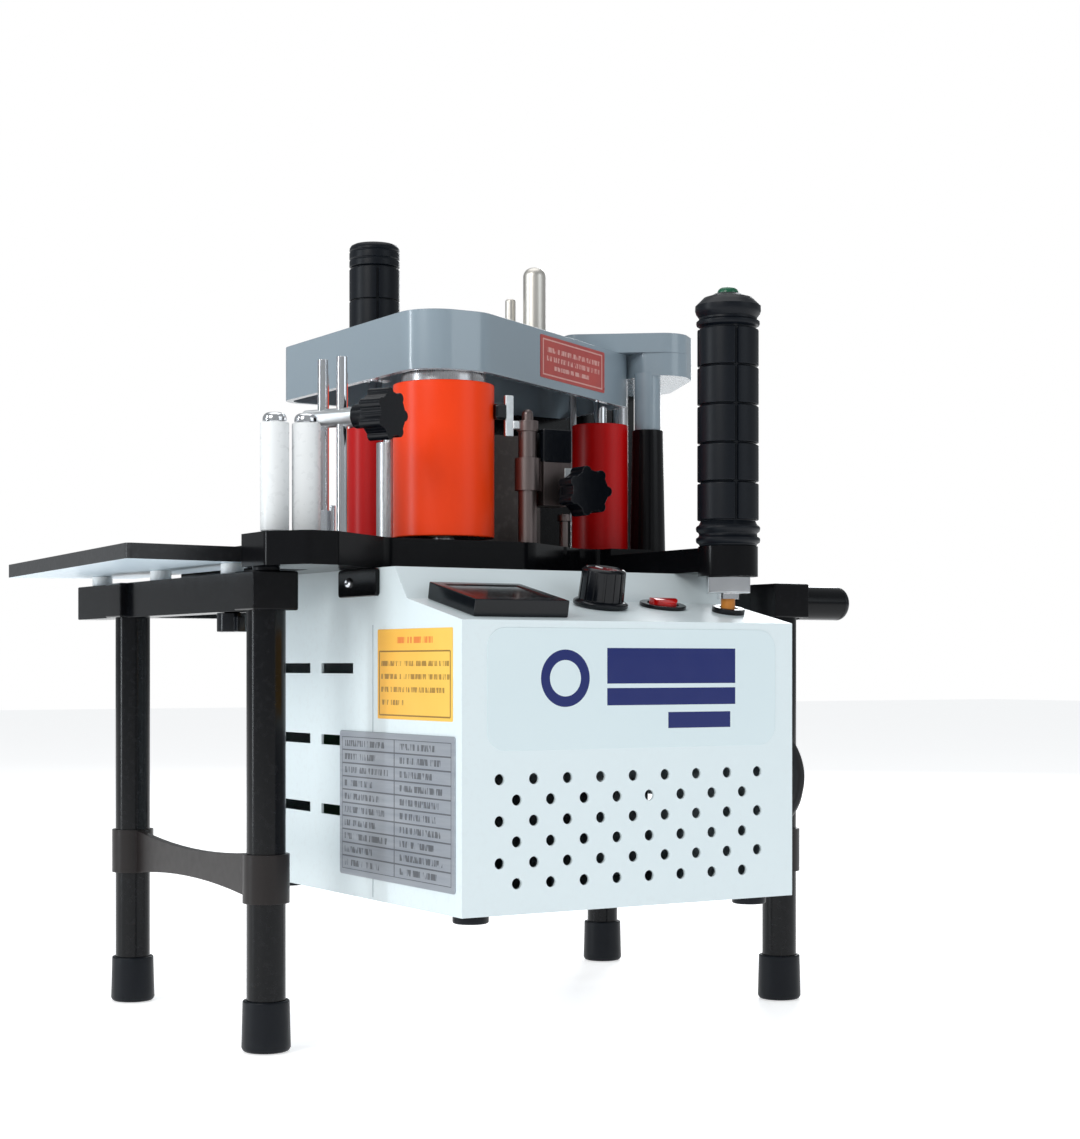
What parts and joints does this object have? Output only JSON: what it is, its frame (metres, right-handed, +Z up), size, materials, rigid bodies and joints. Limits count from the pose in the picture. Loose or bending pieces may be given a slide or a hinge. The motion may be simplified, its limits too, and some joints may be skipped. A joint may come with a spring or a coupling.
{
  "type": "edge banding machine",
  "caption": "Portable edge banding machine on a four-legged stand, with feed rollers, glue pot, grips and a sloped control box.",
  "frame": {"origin": "centre of the machine's footprint box, at floor level", "axes": "+X to the right along the housing's front, +Y to the rear, +Z up"},
  "size_m": [0.4418, 0.3988, 0.471],
  "materials": {
    "housing_white": "satin",
    "zinc_sheet": "satin",
    "cover_grey": "gloss paint",
    "plate_black": "gloss paint",
    "stand_black": "gloss",
    "web_brown": "satin",
    "rubber_black": "matte",
    "plastic_black": "satin",
    "column_black": "satin",
    "orange_rubber": "satin",
    "red_rubber": "satin",
    "steel": "machined",
    "chrome": "polished",
    "aluminium": "satin",
    "bronze": "machined",
    "nylon_white": "satin",
    "glue_pot_brown": "coated",
    "motor_grey": "painted",
    "window_dark": "gloss",
    "rocker_red": "gloss",
    "button_green": "gloss",
    "board_black": "laminate",
    "pcb": "matte",
    "supply_metal": "satin",
    "cable_black": "matte"
  },
  "bodies": {
    "machine": {"base_plate": "plate_black", "board_spacers": "nylon_white", "bridge_column": "column_black", "cable_glands": "plastic_black", "control_board": "pcb", "controller_window": "window_dark", "cover_posts": "steel", "drive_motor": "motor_grey", "end_plugs": "plastic_black", "front_grip": "rubber_black", "gearbox": "motor_grey", "glue_heater": "chrome", "glue_pot": "glue_pot_brown", "grip_stems": "chrome", "heater_lead": "cable_black", "height_rods": "chrome", "housing_back": "housing_white", "housing_feet": "rubber_black", "housing_floor": "zinc_sheet", "housing_shell": "housing_white", "idler_axles": "chrome", "leg_feet": "rubber_black", "leg_sockets": "plate_black", "legs": "stand_black", "plate_pads": "rubber_black", "power_supply": "supply_metal", "rear_grip": "rubber_black", "rear_guard": "plate_black", "shaft_bushes": "bronze", "side_post": "steel", "side_webs": "web_brown", "spec_plate": "aluminium", "speed_control": "plastic_black", "stand_rails": "stand_black", "stem_nuts": "chrome", "support_board": "board_black", "switch_body": "plastic_black", "switch_lead": "cable_black", "tape_posts": "chrome", "temperature_controller": "plastic_black", "top_bridge": "cover_grey", "top_cover": "cover_grey"},
    "main_roller": {"main_roller_core": "steel", "main_roller_sleeve": "orange_rubber", "main_gear": "steel"},
    "glue_roller": {"glue_roller": "steel", "glue_gear": "steel"},
    "pinion": {"motor_pinion": "steel"},
    "press_roller": {"press_roller": "red_rubber"},
    "rear_roller": {"rear_roller": "red_rubber"},
    "guide_roller_left": {"guide_roller_left": "nylon_white"},
    "guide_roller_right": {"guide_roller_right": "nylon_white"},
    "height_clamp": {"height_clamp": "aluminium"},
    "height_knob": {"height_knob": "plastic_black"},
    "side_guide": {"side_guide": "aluminium"},
    "side_knob": {"side_knob": "plastic_black"},
    "speed_knob": {"speed_knob": "plastic_black"},
    "power_rocker": {"power_rocker": "rocker_red"},
    "start_button": {"start_button": "button_green"},
    "board_knob": {"board_knob": "plastic_black"}
  },
  "joints": [
    {"name": "main_roller_spin", "type": "hinge", "parent": "machine", "child": "main_roller", "pos_m": [-0.03524, -0.06077, 0.3], "axis": [0, 0, 1], "continuous": true},
    {"name": "glue_roller_spin", "type": "hinge", "parent": "machine", "child": "glue_roller", "pos_m": [-0.04892, -0.02319, 0.3], "axis": [0, 0, 1], "continuous": true},
    {"name": "pinion_spin", "type": "hinge", "parent": "machine", "child": "pinion", "pos_m": [-0.00101, -0.0535, 0.3], "axis": [0, 0, 1], "continuous": true},
    {"name": "press_roller_spin", "type": "hinge", "parent": "machine", "child": "press_roller", "pos_m": [0.11146, 0.00703, 0.3], "axis": [0, 0, 1], "continuous": true},
    {"name": "rear_roller_spin", "type": "hinge", "parent": "machine", "child": "rear_roller", "pos_m": [-0.03794, 0.01693, 0.3], "axis": [0, 0, 1], "continuous": true},
    {"name": "guide_roller_left_spin", "type": "hinge", "parent": "machine", "child": "guide_roller_left", "pos_m": [-0.14794, -0.08587, 0.3], "axis": [0, 0, 1], "continuous": true},
    {"name": "guide_roller_right_spin", "type": "hinge", "parent": "machine", "child": "guide_roller_right", "pos_m": [-0.13194, -0.08977, 0.3], "axis": [0, 0, 1], "continuous": true},
    {"name": "height_clamp_slide", "type": "slide", "parent": "machine", "child": "height_clamp", "axis": [0, 0, 1], "range_m": [-0.04, 0.025]},
    {"name": "height_knob_turn", "type": "hinge", "parent": "height_clamp", "child": "height_knob", "pos_m": [-0.10456, -0.09197, 0.3266], "axis": [0.4848, -0.8746, 0], "continuous": true},
    {"name": "side_guide_slide", "type": "slide", "parent": "machine", "child": "side_guide", "axis": [0, 0, 1], "range_m": [-0.016, 0.002]},
    {"name": "side_knob_turn", "type": "hinge", "parent": "side_guide", "child": "side_knob", "pos_m": [0.02986, -0.08637, 0.2923], "axis": [0, -1, 0], "continuous": true},
    {"name": "speed_knob_turn", "type": "hinge", "parent": "machine", "child": "speed_knob", "pos_m": [0.00446, -0.15837, 0.22719], "axis": [0, -0.2028, 0.9792], "range_deg": [-140, 140]},
    {"name": "power_rocker_tilt", "type": "hinge", "parent": "machine", "child": "power_rocker", "pos_m": [0.04536, -0.15576, 0.22467], "axis": [1, 0, 0], "range_deg": [-7, 7]},
    {"name": "start_button_press", "type": "slide", "parent": "machine", "child": "start_button", "axis": [0, 0, -1], "range_m": [0, 0.0025], "stiffness_N_per_m": 300, "springref_m": -0.001},
    {"name": "board_knob_turn", "type": "hinge", "parent": "machine", "child": "board_knob", "pos_m": [-0.15514, -0.04737, 0.22], "axis": [0, 0, 1], "continuous": true}
  ],
  "couplings": [
    {"joint": "glue_roller_spin", "follows": "main_roller_spin", "ratio": -1.6667},
    {"joint": "pinion_spin", "follows": "main_roller_spin", "ratio": -2.5}
  ]
}
